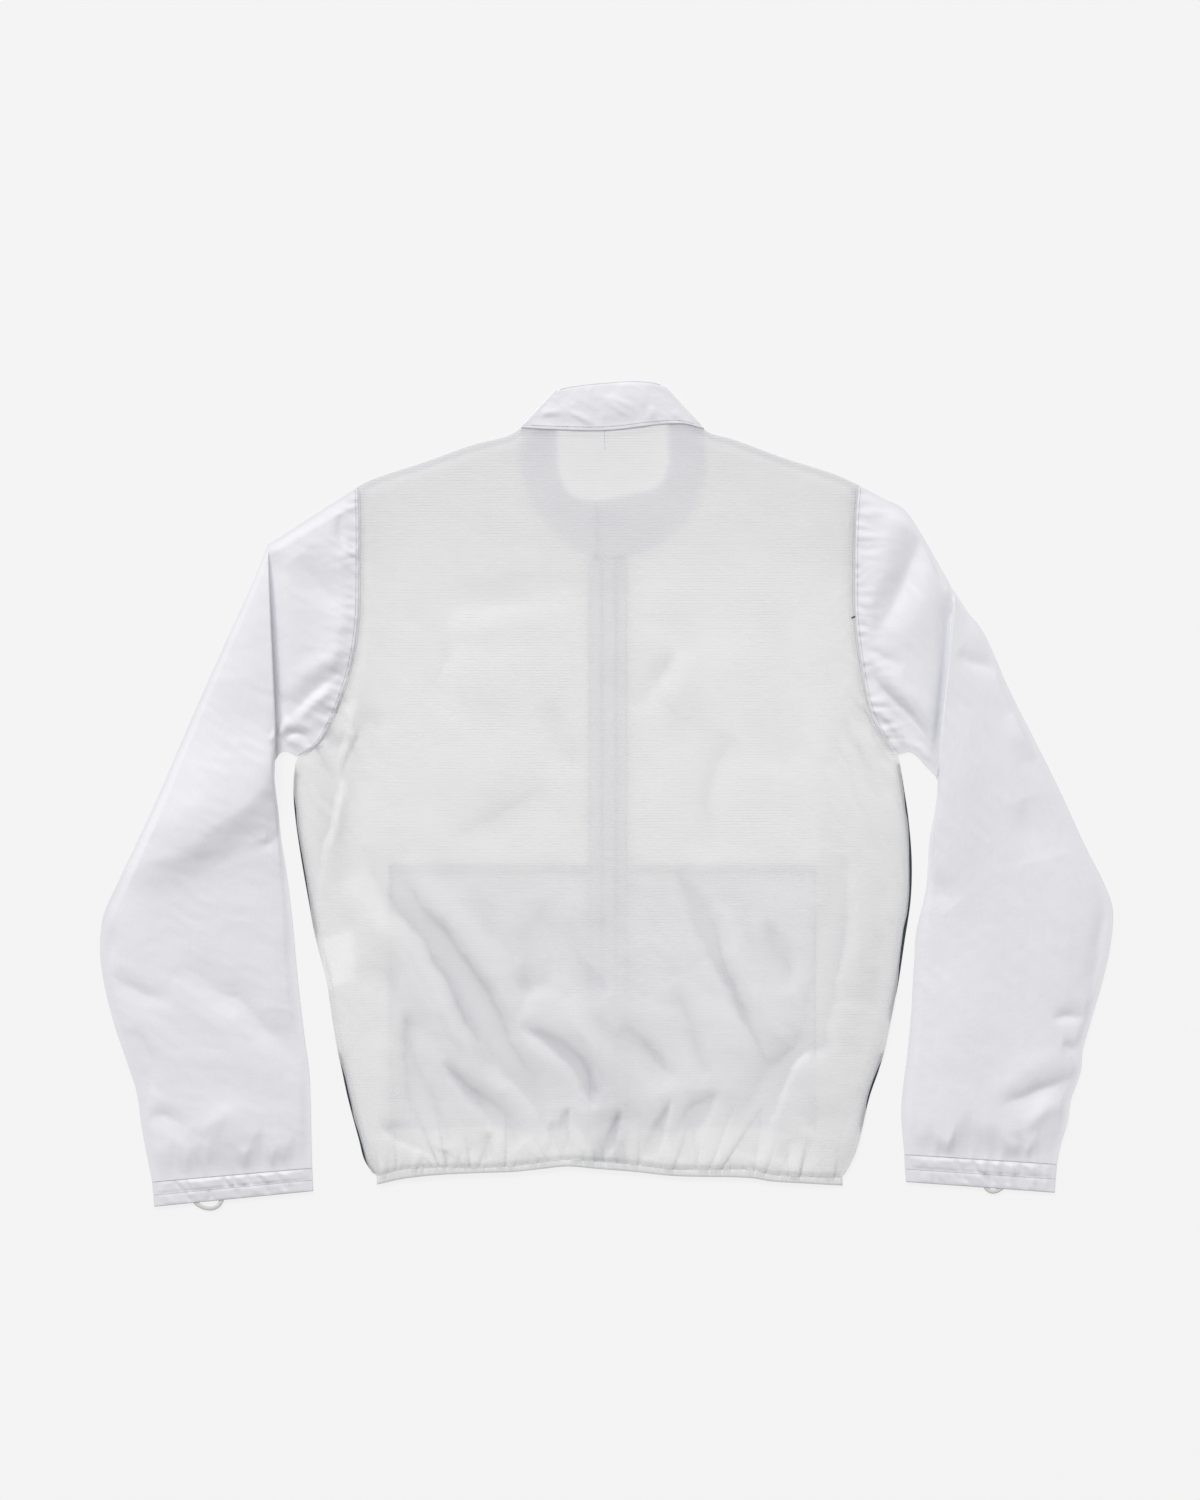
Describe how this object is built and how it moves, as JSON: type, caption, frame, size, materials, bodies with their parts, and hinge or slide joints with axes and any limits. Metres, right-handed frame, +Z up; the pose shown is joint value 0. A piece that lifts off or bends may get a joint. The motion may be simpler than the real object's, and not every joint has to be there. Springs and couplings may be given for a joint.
{
  "type": "bomber jacket",
  "caption": "Light zipped jacket with stand collar and elasticated cuffs and hem, laid flat with its back up.",
  "frame": {"origin": "centre of the footprint, on the surface that the jacket lies on", "axes": "+Z up from the surface, +Y from the hem towards the collar, +X towards the wearer's right sleeve, which is on the right as the back is seen from above"},
  "size_m": [0.9425, 0.772, 0.0115],
  "materials": {
    "ripstop_sheer": "semi-sheer off-white ripstop weave, crisp, with a fine grid",
    "nylon_lavender": "pale lavender-grey plain nylon with a soft sheen",
    "elastic_tape": "off-white matt ribbed elastic",
    "slate_trim": "dark slate matt flat trim",
    "label_tape": "white woven satin tape, blank",
    "zip_cloth": "pale grey woven zip tape",
    "zip_coil": "pale grey moulded coil teeth",
    "zip_metal": "pale grey painted die-cast slider"
  },
  "bodies": {
    "root": {"back": "ripstop_sheer", "front_left": "ripstop_sheer", "front_right": "ripstop_sheer", "pocket_bag_left": "ripstop_sheer", "pocket_bag_right": "ripstop_sheer", "collar": "nylon_lavender", "sleeve_left": "nylon_lavender", "sleeve_right": "nylon_lavender", "cuff_left": "nylon_lavender", "cuff_right": "nylon_lavender", "zip_facing": "nylon_lavender", "hem_band": "elastic_tape", "cuff_loop_left": "elastic_tape", "cuff_loop_right": "elastic_tape", "piping_left": "slate_trim", "piping_right": "slate_trim", "care_label": "label_tape", "zip_tape_left": "zip_cloth", "zip_tape_right": "zip_cloth", "zip_chain": "zip_coil", "zip_slider": "zip_metal"}
  },
  "joints": []
}
